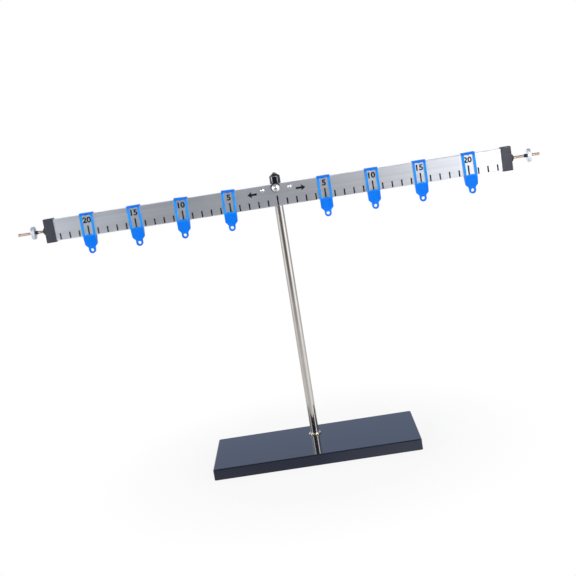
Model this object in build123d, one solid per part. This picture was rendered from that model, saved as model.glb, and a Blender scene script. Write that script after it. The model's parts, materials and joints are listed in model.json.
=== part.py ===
from build123d import *
import math
import os

# A lever on a stand, for balancing hung weights. Lengths are in millimetres.
# +X runs along the lever, -Y is the side that the scale faces, +Z is up.
# The origin lies on the floor, under the middle of the base.

# General
overrun = 1.0
shaft_fit = 0.05
face_play = 0.15

# Base tray and ballast
base_length = 218.0
base_depth = 98.0
base_top = 12.4
rim_above_floor = 0.8
tray_sheet = 1.5
tray_inner_radius = 0.8
tray_edge_radius = 1.1
ballast_thickness = 5.0
ballast_side_gap = 0.5

# Rubber feet
foot_radius = 7.0
foot_round = 0.8
foot_stem_radius = 2.5
foot_stem_recess = 0.6
foot_inset = 17.0

# Rod and what holds its foot
rod_radius = 4.5
rod_from_back = 29.0
rod_chamfer = 0.5
rod_flat_depth = 0.75
spigot_radius = 3.0
spigot_above_floor = 1.0
spigot_hole_gap = 0.25
collar_radius = 6.7
collar_height = 1.3
collar_round = 0.4
rod_washer_radius = 7.0
rod_washer_thickness = 1.2
rod_nut_flats = 10.0
rod_nut_thickness = 3.0

# Beam and its scale
beam_length = 487.0
beam_height = 22.6
beam_thickness = 6.0
beam_edge_radius = 0.3
beam_top_above_base = 277.1
scale_step = 10.0
long_mark_every = 5
mark_width = 1.1
mark_depth = 0.2
mark_from_bottom = 0.7
short_mark_length = 6.4
long_mark_length = 10.0
mark_end_margin = 2.0

# Pivot
pivot_below_beam_top = 3.7
pivot_head_radius = 4.2
pivot_head_edge = 0.7
pivot_head_height = 2.7
recess_width = 0.8
recess_length = 3.0
recess_depth = 1.0
pivot_shoulder_radius = 2.5
pivot_thread_radius = 2.0
pivot_thread_end = 1.0
front_washer_radius = 4.9
front_washer_thickness = 1.0
front_washer_shift = 0.35
front_washer_rise = 0.45
spacer_radius = 3.5
spacer_thickness = 2.8
pivot_nut_flats = 7.0
pivot_nut_thickness = 3.2
nut_chamfer_share = 0.12

# Bearing plate and its rivets
plate_length = 35.0
plate_height = 8.0
plate_thickness = 1.0
plate_below_beam_top = 0.5
plate_corner_radius = 1.5
rivet_spacing = 28.6
rivet_below_beam_top = 4.4
rivet_shank_radius = 1.5
rivet_head_radius = 2.1
rivet_head_edge = 0.3
rivet_head_height = 1.0
rivet_tail_radius = 2.0
rivet_tail_height = 0.7

# Vinyl cap on the rod
vinyl_wall = 1.2
vinyl_air = 0.3
vinyl_above_nut = 0.1
vinyl_shoulder_above_beam = 8.0
vinyl_cone_height = 2.3
vinyl_nub_radius = 1.6
vinyl_nub_height = 1.2
vinyl_nub_round = 0.4
vinyl_top_wall = 1.1

# End caps, studs and balance nuts
cap_length = 10.7
cap_wall = 1.2
cap_end_wall = 2.0
cap_edge_radius = 0.7
boss_radius = 3.8
boss_edge = 1.0
boss_height = 2.5
stud_radius = 1.5
stud_depth_in_beam = 12.0
stud_reach = 29.2
stud_chamfer = 0.4
nut_disc_radius = 6.8
nut_disc_thickness = 3.6
nut_disc_round = 0.6
insert_radius = 2.0
insert_out = 3.2
left_nut_out = 12.5
right_nut_out = 18.0

# Riders, one at each long mark that has room for it
rider_end_gap = 1.0
rider_wall = 1.4
rider_top_wall = 1.15
rider_side_play = 0.25
rider_top_play = 0.1
rider_bottom_play = 0.7
rider_width = 13.8
rider_lower_width = 13.0
rider_window_width = 9.0
rider_window_below_top = 1.0
rider_window_above_bottom = 0.2
rider_window_dome = 1.2
rider_pointer_width = 3.6
rider_pointer_drop = 0.5
rider_bottom_wall = 1.6
rider_body_drop = 9.5
rider_shoulder_drop = 3.2
rider_ring_drop = 15.6
rider_ring_radius = 3.6
rider_hole_radius = 1.7
rider_tongue_thickness = 3.2
rider_edge_radius = 0.5
outer_right_rider_slip = 1.1

# How far riders lean on the beam, in degrees; a positive lean swings the ring to the left
inner_left_lean = 2.3
outer_left_lean = 0.6
outer_right_lean = -1.2

# Heights of the stand
tray_underside = base_top - tray_sheet
ballast_underside = tray_underside - ballast_thickness
shoulder_height = base_top + collar_height
beam_top = base_top + beam_top_above_base
beam_bottom = beam_top - beam_height
beam_middle = (beam_top + beam_bottom) / 2
pivot_height = beam_top - pivot_below_beam_top
nut_top = pivot_height + pivot_nut_flats / 2
vinyl_bottom = nut_top + vinyl_above_nut
vinyl_shoulder = beam_top + vinyl_shoulder_above_beam
vinyl_cone_top = vinyl_shoulder + vinyl_cone_height
vinyl_tip = vinyl_cone_top + vinyl_nub_height
rod_top = vinyl_shoulder + vinyl_cone_height - vinyl_top_wall - vinyl_air - rod_chamfer

# Places from front to back
rod_y = base_depth / 2 - rod_from_back
front_flat = rod_y - rod_radius + rod_flat_depth
rear_flat = rod_y + rod_radius - rod_flat_depth
spacer_front = front_flat - spacer_thickness
plate_back = spacer_front - face_play
beam_back = plate_back - plate_thickness
beam_front = beam_back - beam_thickness
beam_y = (beam_front + beam_back) / 2
washer_back = beam_front - face_play
washer_front = washer_back - front_washer_thickness

# Places along the lever
beam_end = beam_length / 2
cap_outer = beam_end + cap_end_wall
cap_inner = cap_outer - cap_length
stud_tip = cap_outer + stud_reach
mark_count = int((cap_inner - mark_end_margin) / scale_step)
rider_step = long_mark_every * scale_step
rider_count = int((cap_inner - rider_end_gap - rider_width / 2 - outer_right_rider_slip) / rider_step)


def box_between(low, high):
    """Box from its lowest corner to its highest."""
    sizes = [b - a for a, b in zip(low, high)]
    middle = [(a + b) / 2 for a, b in zip(low, high)]
    return Pos(*middle) * Box(*sizes)


def upright(radius, low, high, x, y):
    """Cylinder along Z."""
    return Pos(x, y, (low + high) / 2) * Cylinder(radius, high - low)


def crosswise(radius, front, back, x, z):
    """Cylinder along Y."""
    return Pos(x, (front + back) / 2, z) * Rot(90, 0, 0) * Cylinder(radius, back - front)


def lengthwise(radius, left, right, y, z):
    """Cylinder along X."""
    return Pos((left + right) / 2, y, z) * Rot(0, 90, 0) * Cylinder(radius, right - left)


def dome(radius, edge, height):
    """Domed head on the XY plane: a short straight edge, then a cap up to its height."""
    rise = height - edge
    ball = (radius ** 2 + rise ** 2) / (2 * rise)
    half_angle = math.asin(radius / ball) / 2
    middle = (ball * math.sin(half_angle), height - ball + ball * math.cos(half_angle))
    outline = Polyline((0, height), (0, 0), (radius, 0), (radius, edge))
    outline += ThreePointArc((radius, edge), middle, (0, height))
    return revolve(make_face(Plane.XZ * outline), Axis.Z)


def hex_nut(flats, thickness):
    """Hexagonal nut blank on the XY plane with both faces chamfered."""
    prism = extrude(RegularPolygon(flats / 2, 6, major_radius=False), thickness)
    corner = flats / 2 / math.cos(math.pi / 6)
    bevel = flats * nut_chamfer_share
    turned = Pos(0, 0, thickness / 2) * Cylinder(corner, thickness)
    turned = chamfer(turned.edges(), bevel * math.tan(math.pi / 6), bevel)
    return prism & turned


def mirrored_pair(piece):
    """The same piece at the other end of the lever."""
    return mirror(piece, Plane.YZ)


def foot_places():
    """Names and places of the four feet."""
    across = base_length / 2 - foot_inset
    deep = base_depth / 2 - foot_inset
    return {
        "foot_front_left": (-across, -deep),
        "foot_front_right": (across, -deep),
        "foot_rear_left": (-across, deep),
        "foot_rear_right": (across, deep),
    }


# Stand

def base_tray():
    """Pressed steel tray, open underneath, with the spigot's hole."""
    half_length = base_length / 2
    half_depth = base_depth / 2
    tray = box_between((-half_length, -half_depth, rim_above_floor), (half_length, half_depth, base_top))
    tray = fillet(tray.edges().filter_by(Axis.Z), tray_inner_radius + tray_sheet)
    tray = fillet(tray.faces().sort_by(Axis.Z)[-1].edges(), tray_edge_radius)
    inner_length = half_length - tray_sheet
    inner_depth = half_depth - tray_sheet
    hollow = box_between(
        (-inner_length, -inner_depth, rim_above_floor - overrun), (inner_length, inner_depth, tray_underside))
    hollow = fillet(hollow.edges().filter_by(Axis.Z), tray_inner_radius)
    hole = upright(spigot_radius + spigot_hole_gap, tray_underside - overrun, base_top + overrun, 0, rod_y)
    return tray - hollow - hole


def ballast_plate():
    """Steel plate against the tray's underside, with holes for the spigot and the feet."""
    half_length = base_length / 2 - tray_sheet - ballast_side_gap
    half_depth = base_depth / 2 - tray_sheet - ballast_side_gap
    plate = box_between((-half_length, -half_depth, ballast_underside), (half_length, half_depth, tray_underside))
    low = ballast_underside - overrun
    high = tray_underside + overrun
    plate -= upright(spigot_radius + spigot_hole_gap, low, high, 0, rod_y)
    for x, y in foot_places().values():
        plate -= upright(foot_stem_radius + shaft_fit, low, high, x, y)
    return plate


def rubber_foot(x, y):
    """Round foot with a stem pushed up into the ballast plate."""
    foot = upright(foot_radius, 0, ballast_underside, x, y)
    foot = fillet(foot.edges().sort_by(Axis.Z)[0], foot_round)
    stem = upright(foot_stem_radius, ballast_underside, tray_underside - foot_stem_recess, x, y)
    return foot + stem


def support_rod():
    """Rod with a spigot at its foot, two flats and a cross hole for the pivot screw."""
    rod = upright(rod_radius, shoulder_height, rod_top, 0, rod_y)
    rod = chamfer(rod.edges().sort_by(Axis.Z)[-1], rod_chamfer)
    rod += upright(spigot_radius, spigot_above_floor, shoulder_height, 0, rod_y)
    flat_half = pivot_nut_flats / 2 + shaft_fit
    for near, far in ((rod_y - rod_radius - overrun, front_flat), (rear_flat, rod_y + rod_radius + overrun)):
        rod -= box_between(
            (-rod_radius - overrun, near, pivot_height - flat_half),
            (rod_radius + overrun, far, pivot_height + flat_half))
    hole = crosswise(
        pivot_thread_radius + shaft_fit, rod_y - rod_radius - overrun, rod_y + rod_radius + overrun,
        0, pivot_height)
    return rod - hole


def rod_collar():
    """Ring under the rod's shoulder."""
    ring = upright(collar_radius, base_top, shoulder_height, 0, rod_y)
    ring = fillet(ring.edges().sort_by(Axis.Z)[-1], collar_round)
    hole = upright(spigot_radius + shaft_fit, base_top - overrun, shoulder_height + overrun, 0, rod_y)
    return ring - hole


def rod_washer():
    """Washer under the ballast plate."""
    low = ballast_underside - rod_washer_thickness
    ring = upright(rod_washer_radius, low, ballast_underside, 0, rod_y)
    return ring - upright(spigot_radius + shaft_fit, low - overrun, ballast_underside + overrun, 0, rod_y)


def rod_nut():
    """Nut on the spigot under the washer."""
    low = ballast_underside - rod_washer_thickness - rod_nut_thickness
    nut = Pos(0, rod_y, low) * hex_nut(rod_nut_flats, rod_nut_thickness)
    hole = upright(spigot_radius + shaft_fit, low - overrun, low + rod_nut_thickness + overrun, 0, rod_y)
    return nut - hole


def rod_cap():
    """Vinyl cap pushed over the rod's top, with a cone and a small nub."""
    outer = rod_radius + shaft_fit + vinyl_wall
    cone_edge = vinyl_nub_radius + vinyl_nub_round
    profile = Polyline(
        (0, vinyl_bottom), (outer, vinyl_bottom), (outer, vinyl_shoulder), (cone_edge, vinyl_cone_top),
        (vinyl_nub_radius, vinyl_cone_top), (vinyl_nub_radius, vinyl_tip), (0, vinyl_tip), close=True)
    cap = revolve(make_face(Plane.XZ * profile), Axis.Z)
    cap = fillet(cap.edges().filter_by(GeomType.CIRCLE).sort_by(Axis.Z)[-1], vinyl_nub_round)
    cap = Pos(0, rod_y, 0) * cap
    bore = upright(rod_radius + shaft_fit, vinyl_bottom - overrun, vinyl_shoulder, 0, rod_y)
    taper_top = rod_top + vinyl_air
    inner = rod_radius + shaft_fit
    narrow = inner - rod_chamfer - vinyl_air
    lid = Polyline((0, vinyl_shoulder), (inner, vinyl_shoulder), (narrow, taper_top), (0, taper_top), close=True)
    return cap - bore - Pos(0, rod_y, 0) * revolve(make_face(Plane.XZ * lid), Axis.Z)


def pivot_screw():
    """Domed screw with a cross recess, a smooth shoulder and a threaded end."""
    head = Rot(90, 0, 0) * dome(pivot_head_radius, pivot_head_edge, pivot_head_height)
    head = Pos(0, washer_front, pivot_height) * head
    tip = washer_front - pivot_head_height
    deep = tip + recess_depth
    for wide, tall in ((recess_length, recess_width), (recess_width, recess_length)):
        head -= box_between(
            (-wide / 2, tip - overrun, pivot_height - tall / 2), (wide / 2, deep, pivot_height + tall / 2))
    shoulder = crosswise(pivot_shoulder_radius, washer_front, spacer_front, 0, pivot_height)
    end = rear_flat + pivot_nut_thickness + pivot_thread_end
    thread = crosswise(pivot_thread_radius, spacer_front, end, 0, pivot_height)
    return head + shoulder + thread


def front_washer():
    """Loose washer behind the screw's head, pushed up and to the left as far as its bore lets it."""
    x = -front_washer_shift
    z = pivot_height + front_washer_rise
    bore = pivot_shoulder_radius + math.hypot(front_washer_shift, front_washer_rise) + shaft_fit
    disc = crosswise(front_washer_radius, washer_front, washer_back, x, z)
    return disc - crosswise(bore, washer_front - overrun, washer_back + overrun, x, z)


def spacer_washer():
    """Spacer between the bearing plate and the rod's front flat."""
    disc = crosswise(spacer_radius, spacer_front, front_flat, 0, pivot_height)
    hole = crosswise(
        pivot_thread_radius + shaft_fit, spacer_front - overrun, front_flat + overrun, 0, pivot_height)
    return disc - hole


def pivot_nut():
    """Nut on the screw's end, against the rod's rear flat."""
    nut = Rot(-90, 0, 0) * hex_nut(pivot_nut_flats, pivot_nut_thickness)
    nut = Pos(0, rear_flat, pivot_height) * nut
    hole = crosswise(
        pivot_thread_radius + shaft_fit, rear_flat - overrun, rear_flat + pivot_nut_thickness + overrun,
        0, pivot_height)
    return nut - hole


# Lever

def beam():
    """Flat bar with engraved marks, the pivot's bore, two rivet holes and a stud hole in each end."""
    bar = box_between((-beam_end, beam_front, beam_bottom), (beam_end, beam_back, beam_top))
    bar = fillet(bar.edges().filter_by(Axis.X), beam_edge_radius)
    marks = []
    for index in range(-mark_count, mark_count + 1):
        length = long_mark_length if index % long_mark_every == 0 else short_mark_length
        low = beam_bottom + mark_from_bottom
        middle = index * scale_step
        marks.append(box_between(
            (middle - mark_width / 2, beam_front - overrun, low),
            (middle + mark_width / 2, beam_front + mark_depth, low + length)))
    front = beam_front - overrun
    back = beam_back + overrun
    holes = [crosswise(pivot_shoulder_radius + shaft_fit, front, back, 0, pivot_height)]
    for side in (-1, 1):
        holes.append(crosswise(
            rivet_shank_radius + shaft_fit, front, back, side * rivet_spacing / 2,
            beam_top - rivet_below_beam_top))
        ends = sorted((side * (beam_end - stud_depth_in_beam), side * (beam_end + overrun)))
        holes.append(lengthwise(stud_radius + shaft_fit, ends[0], ends[1], beam_y, beam_middle))
    return bar - marks - holes


def bearing_plate():
    """Steel plate on the back of the beam round the pivot."""
    high = beam_top - plate_below_beam_top
    plate = box_between(
        (-plate_length / 2, beam_back, high - plate_height), (plate_length / 2, plate_back, high))
    plate = fillet(plate.edges().filter_by(Axis.Y), plate_corner_radius)
    front = beam_back - overrun
    back = plate_back + overrun
    plate -= crosswise(pivot_shoulder_radius + shaft_fit, front, back, 0, pivot_height)
    for side in (-1, 1):
        plate -= crosswise(
            rivet_shank_radius + shaft_fit, front, back, side * rivet_spacing / 2,
            beam_top - rivet_below_beam_top)
    return plate


def rivet(side):
    """Rivet with a domed head in front and a flatter one behind the plate."""
    x = side * rivet_spacing / 2
    z = beam_top - rivet_below_beam_top
    shank = crosswise(rivet_shank_radius, beam_front, plate_back, x, z)
    head = Pos(x, beam_front, z) * Rot(90, 0, 0) * dome(rivet_head_radius, rivet_head_edge, rivet_head_height)
    tail = Pos(x, plate_back, z) * Rot(-90, 0, 0) * dome(rivet_tail_radius, rivet_head_edge, rivet_tail_height)
    return shank + head + tail


def right_end_cap():
    """Moulded cap over the beam's end, with a domed boss round the stud."""
    reach = cap_wall + shaft_fit
    cap = box_between(
        (cap_inner, beam_front - reach, beam_bottom - reach), (cap_outer, beam_back + reach, beam_top + reach))
    cap = fillet(cap.edges(), cap_edge_radius)
    cap += Pos(cap_outer, beam_y, beam_middle) * Rot(0, 90, 0) * dome(boss_radius, boss_edge, boss_height)
    cap -= box_between(
        (cap_inner - overrun, beam_front - shaft_fit, beam_bottom - shaft_fit),
        (beam_end, beam_back + shaft_fit, beam_top + shaft_fit))
    return cap - lengthwise(
        stud_radius + shaft_fit, beam_end - overrun, cap_outer + boss_height + overrun, beam_y, beam_middle)


def right_stud():
    """Threaded stud screwed into the beam's end."""
    stud = lengthwise(stud_radius, beam_end - stud_depth_in_beam, stud_tip, beam_y, beam_middle)
    return chamfer(stud.edges().sort_by(Axis.X)[-1], stud_chamfer)


def right_nut_disc(out):
    """Round balance nut, its middle this far beyond the cap."""
    left = cap_outer + out - nut_disc_thickness / 2
    right = left + nut_disc_thickness
    disc = lengthwise(nut_disc_radius, left, right, beam_y, beam_middle)
    disc = fillet(disc.edges(), nut_disc_round)
    return disc - lengthwise(insert_radius + shaft_fit, left - overrun, right + overrun, beam_y, beam_middle)


def right_insert(out):
    """Threaded insert in the balance nut, standing out towards the beam."""
    right = cap_outer + out + nut_disc_thickness / 2
    left = right - nut_disc_thickness - insert_out
    sleeve = lengthwise(insert_radius, left, right, beam_y, beam_middle)
    return sleeve - lengthwise(stud_radius + shaft_fit, left - overrun, right + overrun, beam_y, beam_middle)


# Riders, drawn with the beam's top middle as their zero

def rider_front_view():
    """Outline seen from the front, with the window and the ring's hole left for later."""
    top = rider_top_play + rider_top_wall
    half = rider_width / 2
    lower = rider_lower_width / 2
    step = half - lower
    body_end = -beam_height - rider_body_drop
    neck = body_end - rider_shoulder_drop
    ring = -beam_height - rider_ring_drop
    side = [(half, top), (half, -beam_height), (lower, -beam_height - step), (lower, body_end),
            (rider_ring_radius, neck), (rider_ring_radius, ring)]
    points = side + [(-x, z) for x, z in reversed(side)]
    return make_face(Polyline(*points, close=True)) + Pos(0, ring) * Circle(rider_ring_radius)


def rider_side_view():
    """Outline seen from the lever's end: full depth round the beam, then a taper to the thin tongue."""
    deep = beam_thickness / 2 + rider_side_play + rider_wall
    thin = rider_tongue_thickness / 2
    top = rider_top_play + rider_top_wall
    full = -beam_height - rider_bottom_play - rider_bottom_wall
    body_end = -beam_height - rider_body_drop
    bottom = -beam_height - rider_ring_drop - rider_ring_radius
    side = [(deep, top), (deep, full), (thin, body_end), (thin, bottom)]
    return make_face(Polyline(*(side + [(-y, z) for y, z in reversed(side)]), close=True))


def rider_window():
    """Window with a small pointer at its top edge and a domed bottom edge."""
    half = rider_window_width / 2
    pointer = rider_pointer_width / 2
    top = -rider_window_below_top
    bottom = -beam_height + rider_window_above_bottom
    outline = Polyline(
        (-half, bottom), (-half, top), (-pointer, top), (0, top - rider_pointer_drop), (pointer, top),
        (half, top), (half, bottom))
    outline += ThreePointArc((half, bottom), (0, bottom + rider_window_dome), (-half, bottom))
    return make_face(outline)


def rider_shape():
    """One rider: a sleeve round the beam with a front window, and a tongue with a hanging ring."""
    deep = beam_thickness / 2 + rider_side_play + rider_wall
    half = rider_width / 2
    body = extrude(Plane.XZ * rider_front_view(), deep, both=True)
    body &= extrude(Plane.YZ * rider_side_view(), half, both=True)
    top_corners = body.edges().filter_by(Axis.X).sort_by(Axis.Z)[-2:]
    body = fillet(top_corners, rider_edge_radius)
    inside = beam_thickness / 2 + rider_side_play
    body -= box_between(
        (-half - overrun, -inside, -beam_height - rider_bottom_play), (half + overrun, inside, rider_top_play))
    window = extrude(Plane.XZ * rider_window(), deep + overrun)
    ring = -beam_height - rider_ring_drop
    return body - window - crosswise(rider_hole_radius, -deep - overrun, deep + overrun, 0, ring)


def rider_places():
    """Name, place along the lever and lean of each rider; the last one on the right has slipped outwards."""
    places = {}
    for index in range(1, rider_count + 1):
        mark = index * long_mark_every
        outermost = index == rider_count
        slip = outer_right_rider_slip if outermost else 0
        left_lean = inner_left_lean if 2 * index <= rider_count else 0
        places[f"rider_left_{mark}"] = (-index * rider_step, outer_left_lean if outermost else left_lean)
        places[f"rider_right_{mark}"] = (index * rider_step + slip, outer_right_lean if outermost else 0)
    return places


def placed_rider(x, lean):
    """A rider on the beam, leaning on its corners within its play."""
    lift = rider_width / 2 * math.sin(math.radians(abs(lean)))
    return Pos(x, beam_y, beam_top + lift) * Rot(0, lean, 0) * rider_shape()


def all_pieces():
    """Every piece in its place at rest, under its own name."""
    pieces = {
        "base_tray": base_tray(),
        "ballast_plate": ballast_plate(),
        "support_rod": support_rod(),
        "rod_collar": rod_collar(),
        "rod_washer": rod_washer(),
        "rod_nut": rod_nut(),
        "rod_cap": rod_cap(),
        "pivot_screw": pivot_screw(),
        "front_washer": front_washer(),
        "spacer_washer": spacer_washer(),
        "pivot_nut": pivot_nut(),
        "beam": beam(),
        "bearing_plate": bearing_plate(),
        "left_rivet": rivet(-1),
        "right_rivet": rivet(1),
        "right_end_cap": right_end_cap(),
        "left_end_cap": mirrored_pair(right_end_cap()),
        "right_stud": right_stud(),
        "left_stud": mirrored_pair(right_stud()),
        "right_balance_nut": right_nut_disc(right_nut_out),
        "left_balance_nut": mirrored_pair(right_nut_disc(left_nut_out)),
        "right_nut_insert": right_insert(right_nut_out),
        "left_nut_insert": mirrored_pair(right_insert(left_nut_out)),
    }
    for name, (x, y) in foot_places().items():
        pieces[name] = rubber_foot(x, y)
    for name, (x, lean) in rider_places().items():
        pieces[name] = placed_rider(x, lean)
    return pieces


os.makedirs("parts", exist_ok=True)
for name, piece in all_pieces().items():
    export_step(piece, f"parts/{name}.step")
print("pivot at", 0, round(beam_y, 3), round(pivot_height, 3), "beam", beam_front, beam_back, "rod", rod_y)
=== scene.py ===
import json
import math

import bpy
from bpy.props import FloatProperty, FloatVectorProperty, IntProperty, PointerProperty
from mathutils import Matrix, Vector

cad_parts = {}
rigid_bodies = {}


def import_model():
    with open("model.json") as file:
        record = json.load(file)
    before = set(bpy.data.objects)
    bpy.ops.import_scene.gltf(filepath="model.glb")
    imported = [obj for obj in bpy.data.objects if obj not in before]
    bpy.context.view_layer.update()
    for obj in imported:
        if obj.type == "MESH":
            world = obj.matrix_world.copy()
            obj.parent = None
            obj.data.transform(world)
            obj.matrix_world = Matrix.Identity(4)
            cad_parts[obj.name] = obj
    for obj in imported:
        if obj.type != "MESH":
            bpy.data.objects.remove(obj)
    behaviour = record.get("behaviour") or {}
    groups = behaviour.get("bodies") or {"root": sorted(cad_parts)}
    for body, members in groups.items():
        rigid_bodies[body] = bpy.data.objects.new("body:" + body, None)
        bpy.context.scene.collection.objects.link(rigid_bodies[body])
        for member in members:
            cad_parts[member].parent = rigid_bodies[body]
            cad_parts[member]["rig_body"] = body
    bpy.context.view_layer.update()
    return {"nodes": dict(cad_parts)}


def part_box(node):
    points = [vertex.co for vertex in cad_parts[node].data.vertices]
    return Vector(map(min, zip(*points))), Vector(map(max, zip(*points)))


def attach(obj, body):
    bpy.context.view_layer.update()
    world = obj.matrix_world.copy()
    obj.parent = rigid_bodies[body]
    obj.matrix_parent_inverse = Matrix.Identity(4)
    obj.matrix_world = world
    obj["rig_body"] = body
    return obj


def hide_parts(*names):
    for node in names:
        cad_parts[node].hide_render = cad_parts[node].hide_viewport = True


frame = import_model()
nodes = frame["nodes"]

bl_info = {
    "name": "Lever Balance",
    "version": (1, 0, 0),
    "blender": (4, 5, 0),
    "location": "View3D > Sidebar > Lever",
    "description": "Dresses a lever balance: its stand, lever, scale, balance nuts and riders",
    "category": "Object",
}

MM = 0.001
MICRON = 0.001 * MM
SIDES = {"left": -1, "right": 1}
RIDER_NODES = sorted(name for name in nodes if name.startswith("rider_"))
FOOT_NODES = sorted(name for name in nodes if name.startswith("foot_"))

# The scale: its steps, how high its ink stands above the bar's lower edge and how deep it lies
SCALE_STEP = 10 * MM
FIFTH_STEP = 5 * SCALE_STEP
INK_FOOT = 0.6 * MM
SHORT_INK = 7.2 * MM
LONG_INK = 10.8 * MM
SCALE_FOOT = 0.5 * MM
SCALE_TOP = 12 * MM
GROOVE_MOUTH = 0.02 * MM
GROOVE_DEPTH = 0.25 * MM

# The print: letters' weight and width, and an arrow's place from the pivot and the bar's top edge
LETTER_WEIGHT = 0.04
LETTER_WIDTH = 1.1
ARROW_ACROSS = 25.5 * MM
ARROW_DROP = 7.3 * MM

# The pivot screw's recess, where its painted shade lies, from its axis and behind its front
RECESS_RADIUS = 2.0 * MM
RECESS_EDGE = 0.42 * MM
RECESS_DEPTH = 3 * MM

# The ends: an end cap's boss, the inserts' bore and how a thread is cut
BOSS_HEIGHT = 2.4 * MM
HUB_BORE = 1.55 * MM
HUB_STEP = 0.90
THREAD_ROWS = 10
THREAD_FLANK = 1.3
THREAD_ROOT = 0.15

# Tones
DUST = (0.35, 0.36, 0.38)
WHITE = (1, 1, 1)
DARK_GREY = (0.05, 0.05, 0.05)
DIM_GREY = (0.22, 0.22, 0.22)
MID_GREY = (0.50, 0.50, 0.50)
BACK_BLUE = (0.48, 0.57, 0.81)

# The room's walls round the object, each tone at an azimuth in degrees. 0 is the camera's side,
# and it grows to the right. The ceiling takes over between two sines of the height.
ROOM_WALLS = (
    (-180, BACK_BLUE), (-171, BACK_BLUE), (-156, (2.70, 2.60, 2.45)),
    (-125, (0.60, 0.64, 0.75)), (-100, (0.60, 0.60, 0.62)), (-60, MID_GREY), (-44, DIM_GREY),
    (-30, DARK_GREY), (30, DARK_GREY), (44, DIM_GREY), (60, MID_GREY), (100, (0.40, 0.40, 0.42)),
    (125, (0.50, 0.55, 0.66)), (156, (0.16, 0.19, 0.24)), (171, BACK_BLUE), (180, BACK_BLUE))
ROOM_CEILING = (0.28, 0.29, 0.31)
WALLS_END = 0.35
CEILING_START = 0.80

# Its windows: left and right azimuth, lower and upper height, all in degrees, and brightness.
# Their edges are soft by these amounts, in radians at the sides and in sines above and below.
WARM_TINT = (1.0, 0.97, 0.94)
WARM_WINDOWS = ((16, 29, 1.5, 14, 25), (18, 42, 28, 44, 5), (46, 66, -3.3, 27, 4.4))
COOL_TINT = (0.98, 1.0, 1.03)
COOL_WINDOWS = ((-32, -20, 1.5, 14, 13), (-82, -60, -3.3, 12, 7), (-84, -58, 12, 30, 2))
WINDOW_SIDE_BLUR = 0.05
WINDOW_EDGE_BLUR = 0.012

# The floor's painted glow, as the object sees it by azimuth, near it and further out, and the
# distances in metres between which the one becomes the other
FLOOR_NEAR = (
    (-180, MID_GREY), (-70, (0.72, 0.70, 0.69)), (-35, (0.57, 0.56, 0.55)),
    (0, (0.56, 0.55, 0.54)), (30, (0.80, 0.78, 0.77)), (57, (0.98, 0.97, 0.95)),
    (106, (0.68, 0.67, 0.66)), (180, MID_GREY))
FLOOR_FAR = (
    (-180, MID_GREY), (-106, (0.66, 0.65, 0.64)), (-70, (1.00, 0.99, 0.97)),
    (-46, (0.46, 0.45, 0.44)), (-28, (0.15, 0.145, 0.14)), (0, (0.12, 0.115, 0.11)),
    (14, (0.22, 0.21, 0.21)), (32, (0.88, 0.86, 0.85)), (57, (1.50, 1.49, 1.47)),
    (80, (0.80, 0.80, 0.80)), (106, (0.42, 0.42, 0.43)), (180, MID_GREY))
NEAR_END = 0.35
FAR_START = 1.20

# The floor as the camera sees it: how much of it is plain white at the object, the distances in
# metres between which the rest fades to white, and half its width
WHITE_SHARE = 0.88
FADE_START = 0.13
FADE_END = 0.24
FLOOR_HALF = 3.0


# Sizes and colours that a user would change

def colour(name, description, default):
    """Colour property."""
    return FloatVectorProperty(
        name=name, description=description, default=default, subtype="COLOR", size=3, min=0, max=1)


def length(name, description, default):
    """Length property, in metres."""
    return FloatProperty(
        name=name, description=description, default=default, unit="LENGTH", min=0, precision=5)


def angle(name, description, default):
    """Angle property, given in degrees."""
    return FloatProperty(
        name=name, description=description, default=math.radians(default), subtype="ANGLE")


class StandFinish(bpy.types.PropertyGroup):
    """Finishes of the tray, the rod and what fastens them."""
    tray_colour: colour("Tray", "Gloss paint on the tray", (0.005, 0.009, 0.023))
    plating_colour: colour("Plating", "Bright plating on the rod", (0.74, 0.715, 0.69))
    collar_colour: colour("Collar", "Plating on the ring under the rod", (0.62, 0.57, 0.47))
    vinyl_colour: colour("Vinyl", "Soft cap on the rod", (0.007, 0.008, 0.016))
    steel_colour: colour("Steel", "Plain steel of the ballast and the nuts", (0.50, 0.50, 0.51))
    rubber_colour: colour("Rubber", "Feet", (0.02, 0.02, 0.021))
    brass_colour: colour("Brass", "Spacer on the pivot", (0.72, 0.53, 0.25))
    screw_colour: colour("Screw", "Plating on the pivot screw", (0.88, 0.88, 0.89))
    washer_colour: colour("Washer", "Loose washer in front of the lever", (0.008, 0.009, 0.016))


class LeverFinish(bpy.types.PropertyGroup):
    """Finishes of the bar and of everything on its ends."""
    metal_colour: colour("Bar", "Brushed bar", (0.86, 0.90, 0.99))
    ink_colour: colour("Ink", "Marks and numbers", (0.010, 0.010, 0.013))
    cap_colour: colour("End caps", "Moulded end caps", (0.027, 0.032, 0.048))
    stud_colour: colour("Studs", "Threaded studs", (0.74, 0.60, 0.52))
    nut_colour: colour("Balance nuts", "Round nuts on the studs", (0.84, 0.89, 0.96))
    insert_colour: colour("Inserts", "Dark inserts of the nuts", (0.045, 0.055, 0.095))
    mark_spread: length("Mark spread", "Half the width of the ink at a mark", 0.76 * MM)
    number_height: length("Number height", "Height of the printed numbers", 6.2 * MM)
    number_drop: length("Number drop", "Middle of the numbers below the bar's top edge", 6.0 * MM)
    arrow_length: length("Arrow length", "Length of the printed arrows", 10 * MM)
    ink_height: length("Ink height", "How far the ink stands on the metal", 0.02 * MM)
    thread_pitch: length("Thread pitch", "From one turn of the studs' thread to the next", 0.6 * MM)
    thread_depth: length("Thread depth", "Depth of the studs' thread", 0.32 * MM)
    thread_steps: IntProperty(
        name="Thread steps", description="Steps round each turn", default=28, min=8, max=96)


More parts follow.
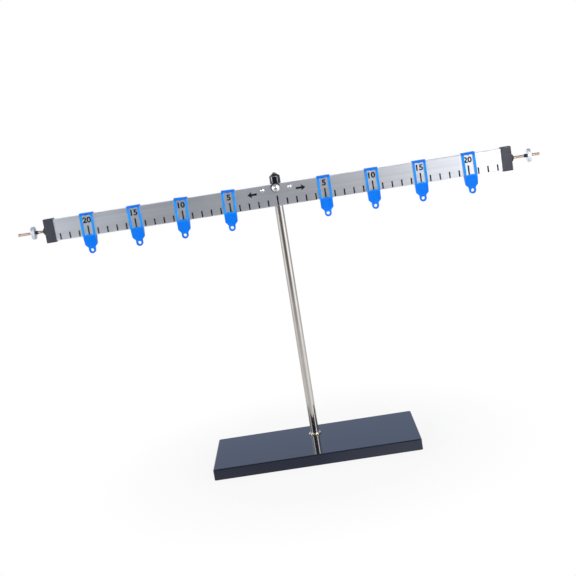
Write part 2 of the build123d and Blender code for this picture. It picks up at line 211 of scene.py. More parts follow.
class RiderFinish(bpy.types.PropertyGroup):
    """Finish of the sliding riders."""
    plastic_colour: colour("Plastic", "Moulded blue plastic", (0.0, 0.165, 0.78))
    # Painted light: a lighter blue standing in for light coming through the thin walls beside the
    # bar.
    painted_glow_colour: colour("Thin walls", "Where light comes through the plastic", (0.01, 0.30, 0.84))
    edge_radius: length("Edge radius", "Rounding of the moulded edges", 0.4 * MM)


class Studio(bpy.types.PropertyGroup):
    """Camera and floor."""
    camera_place: FloatVectorProperty(
        name="Camera", description="Where the camera stands", default=(0.0235, -1.0327, 0.3646),
        subtype="XYZ", unit="LENGTH", size=3, precision=4)
    camera_heading: angle("Heading", "Turn to the left of straight ahead", 1.511)
    camera_pitch: angle("Pitch", "Tilt below the horizon", 10.095)
    camera_roll: angle("Roll", "Turn about the line of sight", 9.091)
    camera_lens: FloatProperty(
        name="Lens", description="Focal length in millimetres", default=62.5, min=1)
    floor_colour: colour("Floor", "Floor under the stand", (0.90, 0.90, 0.90))


# Meshes

def rounded(corners, steps=5):
    """Outline through corners, each given as two coordinates and the radius of its arc."""
    points = []
    for index, (across, along, radius) in enumerate(corners):
        here = Vector((across, along))
        if not radius:
            points.append(here)
            continue
        back = (Vector(corners[index - 1][:2]) - here).normalized()
        ahead = (Vector(corners[(index + 1) % len(corners)][:2]) - here).normalized()
        half = back.angle(ahead) / 2
        centre = here + (back + ahead).normalized() * radius / math.sin(half)
        first = here + back * radius / math.tan(half) - centre
        last = here + ahead * radius / math.tan(half) - centre
        for step in range(steps + 1):
            points.append(centre + first.slerp(last, step / steps).normalized() * radius)
    return points


def finish_mesh(name, points, faces, sharp=32):
    """Mesh from points and faces, smooth except where it turns by more than this many degrees."""
    mesh = bpy.data.meshes.new(name)
    mesh.from_pydata(points, [], faces)
    mesh.validate()
    mesh.shade_smooth()
    mesh.set_sharp_from_angle(angle=math.radians(sharp))
    return mesh


def axis_turn(axis):
    """Turn that takes +Z to this axis."""
    return Vector((0, 0, 1)).rotation_difference(Vector(axis)).to_matrix().to_4x4()


def round_place(radius, height, turn):
    """Place at a radius and a height, turned about +Z."""
    return Vector((radius * math.cos(turn), radius * math.sin(turn), height))


def band(ring, after, steps):
    """Faces between two rings of points, each ring known by its number."""
    here = ring * steps
    there = after * steps
    pairs = [(step, (step + 1) % steps) for step in range(steps)]
    return [(here + step, here + beside, there + beside, there + step) for step, beside in pairs]


def turned(name, outline, place, axis=(0, 0, 1), steps=64):
    """Turned piece from an outline of radius and height, closed on the axis or else as a ring."""
    frame_turn = Matrix.Translation(place) @ axis_turn(axis)
    solid = outline[0][0] < MICRON
    rings = outline[1:-1] if solid else outline
    points = []
    for radius, height in rings:
        for step in range(steps):
            points.append(frame_turn @ round_place(radius, height, math.tau * step / steps))
    faces = []
    count = len(rings)
    for ring in range(count - 1 if solid else count):
        faces.extend(band(ring, (ring + 1) % count, steps))
    if solid:
        for ring, (_, height) in ((0, outline[0]), (count - 1, outline[-1])):
            points.append(frame_turn @ Vector((0, 0, height)))
            for step in range(steps):
                beside = (step + 1) % steps
                pair = (beside, step) if ring == 0 else (step, beside)
                faces.append((ring * steps + pair[0], ring * steps + pair[1], len(points) - 1))
    return finish_mesh(name, points, faces)


def threaded(name, radius, depth, pitch, reach, place, axis, steps):
    """Rod with a thread cut round it, pointed at both ends, from its place along the axis."""
    frame_turn = Matrix.Translation(place) @ axis_turn(axis)
    rows = round(reach / pitch * THREAD_ROWS)
    points = []
    for row in range(rows + 1):
        height = reach * row / rows
        lead_in = min(1.0, min(height, reach - height) / (depth * THREAD_FLANK))
        for step in range(steps):
            phase = (height / pitch - step / steps) % 1
            tooth = min(1.0, max(0.0, abs(2 * phase - 1) * THREAD_FLANK - THREAD_ROOT)) * lead_in
            across = radius - depth + depth * tooth
            points.append(frame_turn @ round_place(across, height, math.tau * step / steps))
    faces = []
    for row in range(rows):
        faces.extend(band(row, row + 1, steps))
    faces.append(tuple(reversed(range(steps))))
    faces.append(tuple(range(rows * steps, (rows + 1) * steps)))
    return finish_mesh(name, points, faces, 60)


def add_piece(mesh, body, material, replaced=()):
    """Puts a mesh in the scene as a piece on a body."""
    piece = bpy.data.objects.new(mesh.name, mesh)
    bpy.context.scene.collection.objects.link(piece)
    mesh.materials.append(material)
    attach(piece, body)
    if replaced:
        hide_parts(*replaced)
    return piece


# The frame's own pieces

def middle_of(node):
    """Middle of a node's box."""
    low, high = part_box(node)
    return (Vector(low) + Vector(high)) / 2


def body_of_node(node):
    """Name of the body that a node rides on."""
    return nodes[node]["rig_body"]


def dress(node, material, edge=0.0):
    """Gives a node of the frame its finish, and breaks its sharp edges by this radius."""
    held = nodes[node]
    for slot in held.material_slots:
        slot.material = material
    if edge:
        weld = held.modifiers.new("Weld", "WELD")
        weld.merge_threshold = MICRON
        plane = held.modifiers.new("Flat faces", "DECIMATE")
        plane.decimate_type = "DISSOLVE"
        plane.angle_limit = math.radians(0.5)
        bevel = held.modifiers.new("Broken edges", "BEVEL")
        bevel.limit_method = "ANGLE"
        bevel.angle_limit = math.radians(35)
        bevel.width = edge
        bevel.segments = 2
        bevel.use_clamp_overlap = True
        normal = held.modifiers.new("Normals", "WEIGHTED_NORMAL")
        normal.keep_sharp = False


# Finishes

def new_finish(name):
    """Bare material with a principled shader. Returns the material, its tree and the shader."""
    material = bpy.data.materials.new(name)
    material.use_nodes = True
    tree = material.node_tree
    tree.nodes.clear()
    shader = tree.nodes.new("ShaderNodeBsdfPrincipled")
    output = tree.nodes.new("ShaderNodeOutputMaterial")
    tree.links.new(shader.outputs[0], output.inputs["Surface"])
    return material, tree, shader


def noise(tree, per_metre, detail=2.0, stretch=(1, 1, 1), warp=0.0):
    """Noise fixed to the piece, in cells to the metre, drawn out along an axis of small stretch."""
    place = tree.nodes.new("ShaderNodeTexCoord")
    mapping = tree.nodes.new("ShaderNodeMapping")
    mapping.inputs["Scale"].default_value = stretch
    texture = tree.nodes.new("ShaderNodeTexNoise")
    texture.inputs["Scale"].default_value = per_metre
    texture.inputs["Detail"].default_value = detail
    texture.inputs["Distortion"].default_value = warp
    tree.links.new(place.outputs["Object"], mapping.inputs["Vector"])
    tree.links.new(mapping.outputs["Vector"], texture.inputs["Vector"])
    return texture.outputs["Fac"]


def ranged(tree, source, low, high, low_at=0.3, high_at=0.7):
    """The source's values between two places, stretched over a range and held at its ends."""
    node = tree.nodes.new("ShaderNodeMapRange")
    node.inputs["From Min"].default_value = low_at
    node.inputs["From Max"].default_value = high_at
    node.inputs["To Min"].default_value = low
    node.inputs["To Max"].default_value = high
    tree.links.new(source, node.inputs["Value"])
    return node.outputs["Result"]


def sum_up(tree, operation, first, second=None):
    """Math node on sockets or numbers."""
    node = tree.nodes.new("ShaderNodeMath")
    node.operation = operation
    for index, value in enumerate((first, second)):
        if isinstance(value, bpy.types.NodeSocket):
            tree.links.new(value, node.inputs[index])
        elif value is not None:
            node.inputs[index].default_value = value
    return node.outputs[0]


def mixed(tree, factor, first, second):
    """Colour from first to second as the factor runs from 0 to 1; each is a colour or a socket."""
    node = tree.nodes.new("ShaderNodeMix")
    node.data_type = "RGBA"
    for socket, value in ((node.inputs["A"], first), (node.inputs["B"], second)):
        if isinstance(value, bpy.types.NodeSocket):
            tree.links.new(value, socket)
        else:
            socket.default_value = (*value, 1)
    tree.links.new(factor, node.inputs["Factor"])
    return node.outputs["Result"]


def raise_surface(tree, shader, *layers):
    """Bumps on the shader, each given as its source and its height in metres."""
    normal = None
    for source, height in layers:
        node = tree.nodes.new("ShaderNodeBump")
        node.inputs["Strength"].default_value = 1.0
        node.inputs["Distance"].default_value = height
        tree.links.new(source, node.inputs["Height"])
        if normal:
            tree.links.new(normal, node.inputs["Normal"])
        normal = node.outputs["Normal"]
    tree.links.new(normal, shader.inputs["Normal"])


def scaled(base, amount):
    """The colour times this amount."""
    return tuple(part * amount for part in base)


def clouded(tree, source, base, dull, clear):
    """The colour times the dull amount where the source is low and the clear one where high."""
    return mixed(tree, ranged(tree, source, 0, 1), scaled(base, dull), scaled(base, clear))


def between(tree, source, low, high):
    """1 where the source lies between two values, else 0."""
    above = sum_up(tree, "GREATER_THAN", source, low)
    return sum_up(tree, "MULTIPLY", above, sum_up(tree, "LESS_THAN", source, high))


def coordinate(tree, axis):
    """One of the piece's own coordinates."""
    place = tree.nodes.new("ShaderNodeTexCoord")
    parts = tree.nodes.new("ShaderNodeSeparateXYZ")
    tree.links.new(place.outputs["Object"], parts.inputs[0])
    return parts.outputs[axis]


def uneven_polish(tree, shader, polish, cloud):
    """Sets the roughness to this polish, duller where the cloud is thick."""
    uneven = ranged(tree, cloud, 0.9, 1.15)
    tree.links.new(sum_up(tree, "MULTIPLY", polish, uneven), shader.inputs["Roughness"])


def metal_finish(name, base, roughness, per_metre=900, stretch=(1, 1, 1), scratch=MICRON):
    """Plated metal: clouds of dulled colour, fine scratches and uneven polish."""
    material, tree, shader = new_finish(name)
    shader.inputs["Metallic"].default_value = 1.0
    cloud = noise(tree, per_metre / 12, 3.0)
    fine = noise(tree, per_metre, 3.0, stretch)
    tree.links.new(clouded(tree, cloud, base, 0.92, 1), shader.inputs["Base Color"])
    polish = ranged(tree, fine, roughness * 0.75, roughness * 1.25)
    smudge = ranged(tree, cloud, 0, roughness * 0.35, 0.45, 0.75)
    tree.links.new(sum_up(tree, "ADD", polish, smudge), shader.inputs["Roughness"])
    raise_surface(tree, shader, (fine, scratch))
    return material


def screw_finish(base):
    """Plated screw, with painted shade darkening its cross recess."""
    material, tree, shader = new_finish("Screw plating")
    shader.inputs["Metallic"].default_value = 1.0
    low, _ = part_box("pivot_screw")
    middle = middle_of("pivot_screw")
    fine = noise(tree, 2500, 3.0)
    across = sum_up(tree, "SUBTRACT", coordinate(tree, "X"), middle.x)
    up = sum_up(tree, "SUBTRACT", coordinate(tree, "Z"), middle.z)
    squares = [sum_up(tree, "MULTIPLY", part, part) for part in (across, up)]
    apart = sum_up(tree, "SQRT", sum_up(tree, "ADD", *squares))
    inside = sum_up(tree, "LESS_THAN", apart, RECESS_RADIUS)
    sunk = between(tree, coordinate(tree, "Y"), low[1] + RECESS_EDGE, low[1] + RECESS_DEPTH)
    # Painted shade: the plating darkens to a tenth inside the cross recess, where shade falls.
    recess_shade = sum_up(tree, "MULTIPLY", inside, sunk)
    unshaded_plating = clouded(tree, fine, base, 0.93, 1)
    tree.links.new(mixed(tree, recess_shade, unshaded_plating, scaled(base, 0.10)), shader.inputs["Base Color"])
    tree.links.new(ranged(tree, fine, 0.24, 0.34), shader.inputs["Roughness"])
    raise_surface(tree, shader, (fine, MICRON))
    return material


def plastic_finish(name, base, roughness, per_metre=1500, relief=6 * MICRON, specular=0.5):
    """Moulded plastic, vinyl or rubber: clouds of colour, grain in the polish and a fine relief."""
    material, tree, shader = new_finish(name)
    shader.inputs["Specular IOR Level"].default_value = specular
    cloud = noise(tree, per_metre / 15, 3.0)
    fine = noise(tree, per_metre, 3.0)
    tree.links.new(clouded(tree, cloud, base, 0.82, 1.12), shader.inputs["Base Color"])
    uneven_polish(tree, shader, ranged(tree, fine, roughness * 0.8, roughness * 1.2), cloud)
    raise_surface(tree, shader, (fine, relief))
    return material


def cap_finish(base):
    """Moulded end cap, darker on the boss round its stud."""
    material, tree, shader = new_finish("Cap plastic")
    cloud = noise(tree, 120, 3.0, (1, 1, 0.15))
    fine = noise(tree, 1800, 3.0)
    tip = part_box("right_end_cap")[1][0]
    across = sum_up(tree, "ABSOLUTE", coordinate(tree, "X"))
    boss = sum_up(tree, "GREATER_THAN", across, tip - BOSS_HEIGHT)
    face = clouded(tree, cloud, base, 0.82, 1.12)
    tree.links.new(mixed(tree, boss, face, scaled(base, 0.2)), shader.inputs["Base Color"])
    uneven_polish(tree, shader, ranged(tree, fine, 0.27, 0.41), cloud)
    raise_surface(tree, shader, (fine, 12 * MICRON))
    return material


def tray_finish(base):
    """Gloss paint: a faint orange peel, hairline scratches and a little dust."""
    material, tree, shader = new_finish("Tray paint")
    peel = noise(tree, 260, 1.0)
    cloud = noise(tree, 14, 3.0)
    hair = noise(tree, 900, 2.0, (0.02, 1, 1), 0.4)
    dust = ranged(tree, noise(tree, 2600, 1.0), 0, 0.10, 0.70, 0.78)
    scratch = ranged(tree, hair, 0, 1, 0.70, 0.74)
    settled = sum_up(tree, "MULTIPLY", dust, ranged(tree, cloud, 0, 1, 0.45, 0.6))
    paint = clouded(tree, cloud, base, 0.85, 1.15)
    tree.links.new(mixed(tree, settled, paint, DUST), shader.inputs["Base Color"])
    polish = ranged(tree, cloud, 0.035, 0.075)
    scraped = sum_up(tree, "MULTIPLY", scratch, 0.10)
    tree.links.new(sum_up(tree, "ADD", polish, scraped), shader.inputs["Roughness"])
    raise_surface(tree, shader, (peel, 6 * MICRON))
    return material


def bar_finish(look):
    """Brushed metal along the bar, with black ink in the engraved marks."""
    material, tree, shader = new_finish("Brushed bar")
    shader.inputs["Metallic"].default_value = 1.0
    shader.inputs["Anisotropic"].default_value = 0.8
    shader.inputs["Specular IOR Level"].default_value = 0.1
    shader.inputs["Anisotropic Rotation"].default_value = 0.25
    tangent = tree.nodes.new("ShaderNodeTangent")
    tangent.direction_type = "RADIAL"
    tangent.axis = "Z"
    tree.links.new(tangent.outputs[0], shader.inputs["Tangent"])
    streak = noise(tree, 1600, 4.0, (0.008, 1, 1))
    broad = noise(tree, 420, 3.0, (0.01, 1, 1))
    cloud = noise(tree, 18, 3.0)
    low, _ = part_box("beam")
    depth = coordinate(tree, "Y")
    up = coordinate(tree, "Z")
    in_groove = between(tree, depth, low[1] + GROOVE_MOUTH, low[1] + GROOVE_DEPTH)
    in_scale = between(tree, up, low[2] + SCALE_FOOT, low[2] + SCALE_TOP)
    in_front = sum_up(tree, "LESS_THAN", depth, low[1] + GROOVE_DEPTH)
    round_mark = 0.0
    for apart, top in ((SCALE_STEP, SHORT_INK), (FIFTH_STEP, LONG_INK)):
        step = sum_up(tree, "PINGPONG", coordinate(tree, "X"), apart / 2)
        beside = sum_up(tree, "LESS_THAN", step, look.mark_spread)
        along = sum_up(tree, "MULTIPLY", beside, between(tree, up, low[2] + INK_FOOT, low[2] + top))
        round_mark = sum_up(tree, "MAXIMUM", along, round_mark)
    round_mark = sum_up(tree, "MULTIPLY", round_mark, in_front)
    ink = sum_up(tree, "MAXIMUM", sum_up(tree, "MULTIPLY", in_groove, in_scale), round_mark)
    base = look.metal_colour
    metal = clouded(tree, broad, base, 0.90, 1.04)
    metal = mixed(tree, ranged(tree, streak, 0, 0.5), metal, scaled(base, 0.86))
    metal = mixed(tree, ranged(tree, cloud, 0, 0.35), metal, scaled(base, 0.93))
    tree.links.new(mixed(tree, ink, metal, look.ink_colour), shader.inputs["Base Color"])
    polish = sum_up(tree, "ADD", ranged(tree, streak, 0.35, 0.45), ranged(tree, cloud, -0.03, 0.04))
    matt = sum_up(tree, "MULTIPLY", ink, 0.4)
    tree.links.new(sum_up(tree, "ADD", polish, matt), shader.inputs["Roughness"])
    tree.links.new(sum_up(tree, "SUBTRACT", 1.0, ink), shader.inputs["Metallic"])
    raise_surface(tree, shader, (streak, 4 * MICRON), (broad, 6 * MICRON))
    return material


def rider_finish(look):
    """Blue moulded plastic, with painted light: lighter beside the bar, where its thin walls would
    let light through.
    """
    material, tree, shader = new_finish("Rider plastic")
    shader.inputs["Specular IOR Level"].default_value = 0.15
    low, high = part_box("beam")
    up = coordinate(tree, "Z")
    cloud = noise(tree, 120, 3.0)
    fine = noise(tree, 1800, 3.0)
    rise = ranged(tree, up, 0, 0.8, low[2] - 1.0 * MM, low[2] + 2 * MM)
    fall = ranged(tree, up, 1, 0, high[2] - 2.2 * MM, high[2] - 0.8 * MM)
    # Painted light: the walls beside the bar, below the top bar, take the lighter colour, as if
    # light came through them.
    painted_glow = sum_up(tree, "MULTIPLY", rise, fall)
    base = clouded(tree, cloud, look.plastic_colour, 0.94, 1.04)
    tree.links.new(mixed(tree, painted_glow, base, look.painted_glow_colour), shader.inputs["Base Color"])
    tree.links.new(ranged(tree, fine, 0.32, 0.42), shader.inputs["Roughness"])
    raise_surface(tree, shader, (fine, 5 * MICRON))
    return material


# Operators

class LEVER_OT_stand(bpy.types.Operator):
    """Finishes the tray, the ballast, the rod and its fasteners"""
    bl_idname = "lever.stand"
    bl_label = "Stand"

    def execute(self, context):
        look = context.scene.stand_finish
        dress("base_tray", tray_finish(look.tray_colour))
        steel = metal_finish("Plain steel", look.steel_colour, 0.40)
        dress("ballast_plate", steel, 0.3 * MM)
        for node in ("rod_washer", "rod_nut", "pivot_nut"):
            dress(node, steel, 0.1 * MM)
        plating = metal_finish(
            "Rod plating", look.plating_colour, 0.09, 700, (1, 1, 0.03), 0.3 * MICRON)
        dress("support_rod", plating)
        dress("rod_collar", metal_finish("Collar plating", look.collar_colour, 0.16, 2000))
        dress("pivot_screw", screw_finish(look.screw_colour))
        washer = plastic_finish("Washer", look.washer_colour, 0.55, 2000, 6 * MICRON, 0.2)
        dress("front_washer", washer, 0.1 * MM)
        dress("spacer_washer", metal_finish("Brass", look.brass_colour, 0.28, 1500), 0.12 * MM)
        return {"FINISHED"}


class LEVER_OT_feet(bpy.types.Operator):
    """Makes the four rubber feet"""
    bl_idname = "lever.feet"
    bl_label = "Feet"

    def execute(self, context):
        look = context.scene.stand_finish
        rubber = plastic_finish("Foot rubber", look.rubber_colour, 0.72, 1500, 20 * MICRON)
        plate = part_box("ballast_plate")[0][2]
        for node in FOOT_NODES:
            low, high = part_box(node)
            outer = (high[0] - low[0]) / 2
            stem = 2.5 * MM
            well = outer * 0.42
            well_depth = 1.6 * MM
            outline = rounded([
                (0, high[2], 0), (stem, high[2], 0.5 * MM), (stem, plate, 0),
                (outer, plate, 0.3 * MM), (outer * 0.97, plate * 0.55, 0.8 * MM),
                (outer, plate * 0.42, 0.5 * MM), (outer * 0.94, 0, 0.8 * MM),
                (outer * 0.78, 0, 0.2 * MM),
                (outer * 0.72, 0.5 * MM, 0.2 * MM), (outer * 0.66, 0.5 * MM, 0.2 * MM),
                (outer * 0.60, 0, 0.2 * MM), (well, 0, 0.3 * MM),
                (well * 0.92, well_depth, 0.4 * MM), (0, well_depth, 0)])
            mesh = turned(f"{node}_rubber", outline, (middle_of(node).x, middle_of(node).y, 0))
            add_piece(mesh, body_of_node(node), rubber, (node,))
        return {"FINISHED"}


class LEVER_OT_vinyl_cap(bpy.types.Operator):
    """Makes the dipped vinyl cap on the rod"""
    bl_idname = "lever.vinyl_cap"
    bl_label = "Vinyl cap"

    def execute(self, context):
        look = context.scene.stand_finish
        low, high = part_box("rod_cap")
        middle = middle_of("rod_cap")
        outer = (high[0] - low[0]) / 2
        rod_low, rod_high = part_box("support_rod")
        inner = (rod_high[0] - rod_low[0]) / 2 + 0.05 * MM
        bottom = low[2]
        tip = high[2]
        shoulder = tip - 3.5 * MM
        lid = tip - 2.8 * MM
        outline = rounded([
            (inner, bottom, 0.15 * MM), (outer, bottom, 0.4 * MM), (outer, bottom + 0.6 * MM, 0),
            (outer * 0.985, shoulder - 0.8 * MM, 0), (outer * 0.98, shoulder, 0.8 * MM),
            (2.3 * MM, tip - 1.2 * MM, 0.2 * MM), (1.8 * MM, tip - 1.1 * MM, 0.15 * MM),
            (1.7 * MM, tip, 0.4 * MM), (MICRON, tip, 0), (MICRON, lid, 0),
            (inner - 0.8 * MM, lid, 0.2 * MM), (inner, shoulder, 0.3 * MM)])
        mesh = turned("rod_cap_vinyl", outline, (middle.x, middle.y, 0))
        material = plastic_finish("Vinyl", look.vinyl_colour, 0.05, 500, 3 * MICRON, 0.9)
        add_piece(mesh, body_of_node("rod_cap"), material, ("rod_cap",))
        return {"FINISHED"}


class LEVER_OT_bar(bpy.types.Operator):
    """Finishes the bar, the bearing plate and the rivets, and prints the numbers and arrows"""
    bl_idname = "lever.bar"
    bl_label = "Bar"

    def execute(self, context):
        look = context.scene.lever_finish
        dress("beam", bar_finish(look))
        plate = metal_finish("Plate steel", scaled(look.metal_colour, 0.85), 0.3)
        dress("bearing_plate", plate, 0.12 * MM)
        rivet = metal_finish("Rivet metal", scaled(look.metal_colour, 0.78), 0.22, 2500)
        for side in SIDES:
            dress(f"{side}_rivet", rivet)
        low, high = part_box("beam")
        ink = plastic_finish("Printing ink", look.ink_colour, 0.5, 2500, 2 * MICRON, 0.15)
        points = []
        faces = []
        for node in RIDER_NODES:
            _, side, words = node.split("_")
            across = SIDES[side] * int(words) * SCALE_STEP
            place = Vector((across, low[1], high[2] - look.number_drop))
            add_number(points, faces, words, look.number_height, place)
        for side in SIDES.values():
            place = Vector((side * ARROW_ACROSS, low[1], high[2] - ARROW_DROP))
            add_arrow(points, faces, side, look.arrow_length, place)
        mesh = bpy.data.meshes.new("scale_print")
        mesh.from_pydata(points, [], faces)
        piece = add_piece(mesh, "lever", ink)
        thick = piece.modifiers.new("Ink", "SOLIDIFY")
        thick.thickness = look.ink_height
        thick.offset = 1
        return {"FINISHED"}


def add_number(points, faces, words, height, place):
    """Adds a number's flat faces, its middle at this place on the bar's front."""
    curve = bpy.data.curves.new("Number", "FONT")
    curve.body = words
    curve.size = 1.0
    curve.offset = LETTER_WEIGHT
    curve.resolution_u = 6
    curve.fill_mode = "FRONT"
    held = bpy.data.objects.new("Number", curve)
    bpy.context.scene.collection.objects.link(held)
    final = held.evaluated_get(bpy.context.evaluated_depsgraph_get())
    shape = bpy.data.meshes.new_from_object(final)
    flat = [vertex.co.copy() for vertex in shape.vertices]
    low = Vector((min(v.x for v in flat), min(v.y for v in flat), 0))
    high = Vector((max(v.x for v in flat), max(v.y for v in flat), 0))
    size = height / (high.y - low.y)
    middle = (low + high) / 2
    first = len(points)
    for vertex in flat:
        across = (vertex.x - middle.x) * size * LETTER_WIDTH
        points.append(place + Vector((across, 0, (vertex.y - middle.y) * size)))
    faces.extend(tuple(first + index for index in face.vertices) for face in shape.polygons)
    bpy.data.objects.remove(held)
    bpy.data.curves.remove(curve)
    bpy.data.meshes.remove(shape)


def add_arrow(points, faces, side, reach, place):
    """Adds a plain arrow's flat faces, pointing outwards."""
    shaft = reach * 0.11
    head = reach * 0.32
    neck = reach * 0.06
    outline = [
        (-reach / 2, -shaft), (neck, -shaft), (neck, -head), (reach / 2, 0), (neck, head),
        (neck, shaft), (-reach / 2, shaft)]
    if side < 0:
        outline = [(-x, z) for x, z in reversed(outline)]
    first = len(points)
    points.extend(place + Vector((x, 0, z)) for x, z in outline)
    faces.append(tuple(first + index for index in range(len(outline))))


class LEVER_OT_ends(bpy.types.Operator):
    """Finishes the end caps and the balance nuts, and makes the threaded studs and the nuts'
    inserts
    """
    bl_idname = "lever.ends"
    bl_label = "Ends"

    def execute(self, context):
        look = context.scene.lever_finish
        cap = cap_finish(look.cap_colour)
        stud = metal_finish("Stud metal", look.stud_colour, 0.38, 2500)
        disc = metal_finish("Nut metal", look.nut_colour, 0.50, 2500)
        insert = metal_finish("Insert metal", look.insert_colour, 0.30, 2500)
        for side, sign in SIDES.items():
            dress(f"{side}_end_cap", cap, 0.12 * MM)
            node = f"{side}_stud"
            low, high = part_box(node)
            radius = (high[2] - low[2]) / 2
            start = middle_of(node) - Vector((sign * (high[0] - low[0]) / 2, 0, 0))
            mesh = threaded(
                f"{side}_stud_thread", radius, look.thread_depth, look.thread_pitch,
                high[0] - low[0], start, (sign, 0, 0), look.thread_steps)
            add_piece(mesh, body_of_node(node), stud, (node,))
            dress(f"{side}_balance_nut", disc)
            node = f"{side}_nut_insert"
            low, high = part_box(node)
            outer = (high[2] - low[2]) / 2
            waist = outer * HUB_STEP
            full = high[0] - low[0]
            disc_low, disc_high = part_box(f"{side}_balance_nut")
            seat = disc_high[0] - disc_low[0]
            start = middle_of(node) + Vector((sign * full / 2, 0, 0))
            outline = rounded([
                (HUB_BORE, 0, 0.08 * MM), (outer, 0, 0.15 * MM), (outer, seat, 0.1 * MM),
                (waist, seat + 0.25 * MM, 0.1 * MM), (waist, full, 0.08 * MM),
                (HUB_BORE, full, 0.05 * MM)])
            mesh = turned(f"{side}_nut_hub", outline, start, (-sign, 0, 0), 48)
            add_piece(mesh, body_of_node(node), insert, (node,))
        return {"FINISHED"}


class LEVER_OT_riders(bpy.types.Operator):
    """Finishes the sliding riders"""
    bl_idname = "lever.riders"
    bl_label = "Riders"

    def execute(self, context):
        look = context.scene.rider_finish
        plastic = rider_finish(look)
        for node in RIDER_NODES:
            dress(node, plastic, look.edge_radius)
        return {"FINISHED"}


# Stage

def heading(tree, direction):
    """Azimuth of a direction, as the room's walls count it, and the sine of its height."""
    unit = tree.nodes.new("ShaderNodeVectorMath")
    unit.operation = "NORMALIZE"
    tree.links.new(direction, unit.inputs[0])
    parts = tree.nodes.new("ShaderNodeSeparateXYZ")
    tree.links.new(unit.outputs[0], parts.inputs[0])
    forward = sum_up(tree, "MULTIPLY", parts.outputs["Y"], -1.0)
    return sum_up(tree, "ARCTAN2", parts.outputs["X"], forward), parts.outputs["Z"]


def tones_around(tree, azimuth, stops):
    """Tones at azimuths in degrees, blended between."""
    ramp = tree.nodes.new("ShaderNodeValToRGB")
    ramp.color_ramp.interpolation = "EASE"
    elements = ramp.color_ramp.elements
    for index, (degrees, tone) in enumerate(stops):
        place = degrees / 360 + 0.5
        stop = elements[index] if index < 2 else elements.new(place)
        stop.position = place
        stop.color = (*tone, 1)
    tree.links.new(ranged(tree, azimuth, 0, 1, -math.pi, math.pi), ramp.inputs["Fac"])
    return ramp.outputs["Color"]


def window(tree, azimuth, rise, left, right, low, high, brightness):
    """Brightness of a soft-edged window between two azimuths and two heights, in degrees."""
    sides = [math.radians(edge) for edge in (left, right)]
    heights = [math.sin(math.radians(edge)) for edge in (low, high)]
    ways = ((azimuth, sides, WINDOW_SIDE_BLUR), (rise, heights, WINDOW_EDGE_BLUR))
    glow = brightness
    for source, edges, blur in ways:
        for edge, outside, inside in ((edges[0], 0, 1), (edges[1], 1, 0)):
            part = ranged(tree, source, outside, inside, edge - blur, edge + blur)
            glow = sum_up(tree, "MULTIPLY", part, glow)
    return glow


def world_light(scene):
    """White behind the object to the camera; to everything else a dim room with soft windows."""
    world = bpy.data.worlds.new("Studio room")
    scene.world = world
    world.use_nodes = True
    tree = world.node_tree
    tree.nodes.clear()
    place = tree.nodes.new("ShaderNodeTexCoord")
    ray = tree.nodes.new("ShaderNodeLightPath")
    output = tree.nodes.new("ShaderNodeOutputWorld")
    azimuth, rise = heading(tree, place.outputs["Generated"])
    walls = tones_around(tree, azimuth, ROOM_WALLS)
    to_ceiling = ranged(tree, rise, 0, 1, WALLS_END, CEILING_START)
    room = mixed(tree, to_ceiling, walls, ROOM_CEILING)
    seen = tree.nodes.new("ShaderNodeBackground")
    tree.links.new(mixed(tree, ray.outputs["Is Camera Ray"], room, WHITE), seen.inputs["Color"])
    unseen = sum_up(tree, "SUBTRACT", 1.0, ray.outputs["Is Camera Ray"])
    both = seen
    for tint, windows in ((WARM_TINT, WARM_WINDOWS), (COOL_TINT, COOL_WINDOWS)):
        glow = 0.0
        for opening in windows:
            glow = sum_up(tree, "ADD", window(tree, azimuth, rise, *opening), glow)
        light = tree.nodes.new("ShaderNodeBackground")
        light.inputs["Color"].default_value = (*tint, 1)
        tree.links.new(sum_up(tree, "MULTIPLY", glow, unseen), light.inputs["Strength"])
        added = tree.nodes.new("ShaderNodeAddShader")
        tree.links.new(both.outputs[0], added.inputs[0])
        tree.links.new(light.outputs[0], added.inputs[1])
        both = added
    tree.links.new(both.outputs[0], output.inputs["Surface"])


def floor_finish(look):
    """Pale floor: white to the camera, with the shadow kept, and a painted glow in its own tones to
    all else.
    """
    material, tree, shader = new_finish("Floor")
    shader.inputs["Roughness"].default_value = 0.9
    paint = mixed(tree, noise(tree, 3.0), scaled(look.floor_colour, 0.99), look.floor_colour)
    tree.links.new(paint, shader.inputs["Base Color"])
    place = tree.nodes.new("ShaderNodeTexCoord")
    away = tree.nodes.new("ShaderNodeVectorMath")
    away.operation = "LENGTH"
    tree.links.new(place.outputs["Object"], away.inputs[0])
    # Painted light: the floor glows in these tones to every ray but the camera's.
    glow = tree.nodes.new("ShaderNodeEmission")
    seen = tree.nodes.new("ShaderNodeEmission")
    azimuth, _ = heading(tree, place.outputs["Object"])
    far = tones_around(tree, azimuth, FLOOR_FAR)
    near = tones_around(tree, azimuth, FLOOR_NEAR)
    to_far = ranged(tree, away.outputs["Value"], 0, 1, NEAR_END, FAR_START)
    tree.links.new(mixed(tree, to_far, near, far), glow.inputs["Color"])
    to_camera = tree.nodes.new("ShaderNodeMixShader")
    white = ranged(tree, away.outputs["Value"], WHITE_SHARE, 1.0, FADE_START, FADE_END)
    tree.links.new(white, to_camera.inputs[0])
    tree.links.new(shader.outputs[0], to_camera.inputs[1])
    tree.links.new(seen.outputs[0], to_camera.inputs[2])
    ray = tree.nodes.new("ShaderNodeLightPath")
    either = tree.nodes.new("ShaderNodeMixShader")
    tree.links.new(ray.outputs["Is Camera Ray"], either.inputs[0])
    tree.links.new(glow.outputs[0], either.inputs[1])
    tree.links.new(to_camera.outputs[0], either.inputs[2])
    output = next(node for node in tree.nodes if node.type == "OUTPUT_MATERIAL")
    tree.links.new(either.outputs[0], output.inputs["Surface"])
    return material


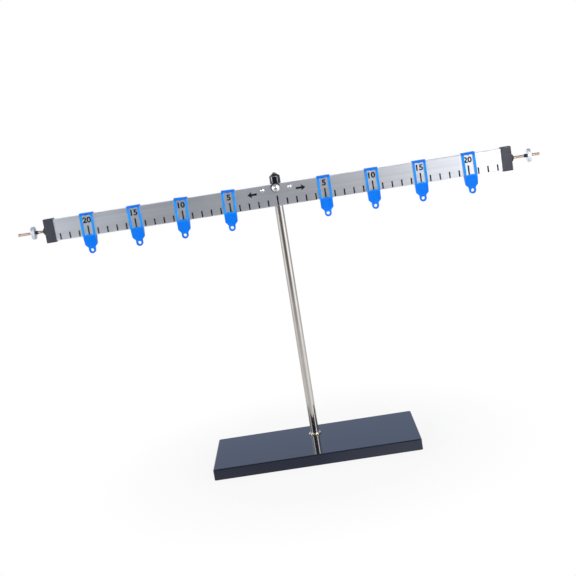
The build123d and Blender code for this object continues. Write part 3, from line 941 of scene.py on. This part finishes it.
class LEVER_OT_stage(bpy.types.Operator):
    """Sets the floor, the light and the camera"""
    bl_idname = "lever.stage"
    bl_label = "Stage"

    def execute(self, context):
        scene = context.scene
        look = scene.studio
        scene.view_settings.view_transform = "Standard"
        floor = bpy.data.meshes.new("Floor")
        square = ((-1, -1), (1, -1), (1, 1), (-1, 1))
        corners = [(x * FLOOR_HALF, y * FLOOR_HALF, 0) for x, y in square]
        floor.from_pydata(corners, [], [(0, 1, 2, 3)])
        floor.materials.append(floor_finish(look))
        held = bpy.data.objects.new("Floor", floor)
        scene.collection.objects.link(held)
        world_light(scene)
        camera = bpy.data.cameras.new("Camera")
        camera.lens = look.camera_lens
        camera.clip_start = 0.01
        stand = bpy.data.objects.new("Camera", camera)
        turn = (Matrix.Rotation(look.camera_heading, 4, "Z")
                @ Matrix.Rotation(math.pi / 2 - look.camera_pitch, 4, "X")
                @ Matrix.Rotation(-look.camera_roll, 4, "Z"))
        stand.matrix_world = Matrix.Translation(look.camera_place) @ turn
        scene.collection.objects.link(stand)
        scene.camera = stand
        return {"FINISHED"}


class LEVER_PT_panel(bpy.types.Panel):
    """Lists the pieces in the sidebar"""
    bl_idname = "LEVER_PT_panel"
    bl_label = "Lever Balance"
    bl_space_type = "VIEW_3D"
    bl_region_type = "UI"
    bl_category = "Lever"

    def draw(self, context):
        for operator in OPERATORS:
            self.layout.operator(operator.bl_idname)


GROUPS = {
    "stand_finish": StandFinish,
    "lever_finish": LeverFinish,
    "rider_finish": RiderFinish,
    "studio": Studio,
}
OPERATORS = (
    LEVER_OT_stand,
    LEVER_OT_feet,
    LEVER_OT_vinyl_cap,
    LEVER_OT_bar,
    LEVER_OT_ends,
    LEVER_OT_riders,
    LEVER_OT_stage,
)


def register():
    """Registers the property groups, the operators and the panel."""
    for name, group in GROUPS.items():
        bpy.utils.register_class(group)
        setattr(bpy.types.Scene, name, PointerProperty(type=group))
    for operator in OPERATORS:
        bpy.utils.register_class(operator)
    bpy.utils.register_class(LEVER_PT_panel)


def unregister():
    """Takes them away again."""
    bpy.utils.unregister_class(LEVER_PT_panel)
    for operator in reversed(OPERATORS):
        bpy.utils.unregister_class(operator)
    for name, group in reversed(GROUPS.items()):
        delattr(bpy.types.Scene, name)
        bpy.utils.unregister_class(group)


def main():
    """Dresses the frame and sets the stage, in order."""
    register()
    bpy.ops.lever.stand()
    bpy.ops.lever.feet()
    bpy.ops.lever.vinyl_cap()
    bpy.ops.lever.bar()
    bpy.ops.lever.ends()
    bpy.ops.lever.riders()
    bpy.ops.lever.stage()


if __name__ == "__main__":
    main()
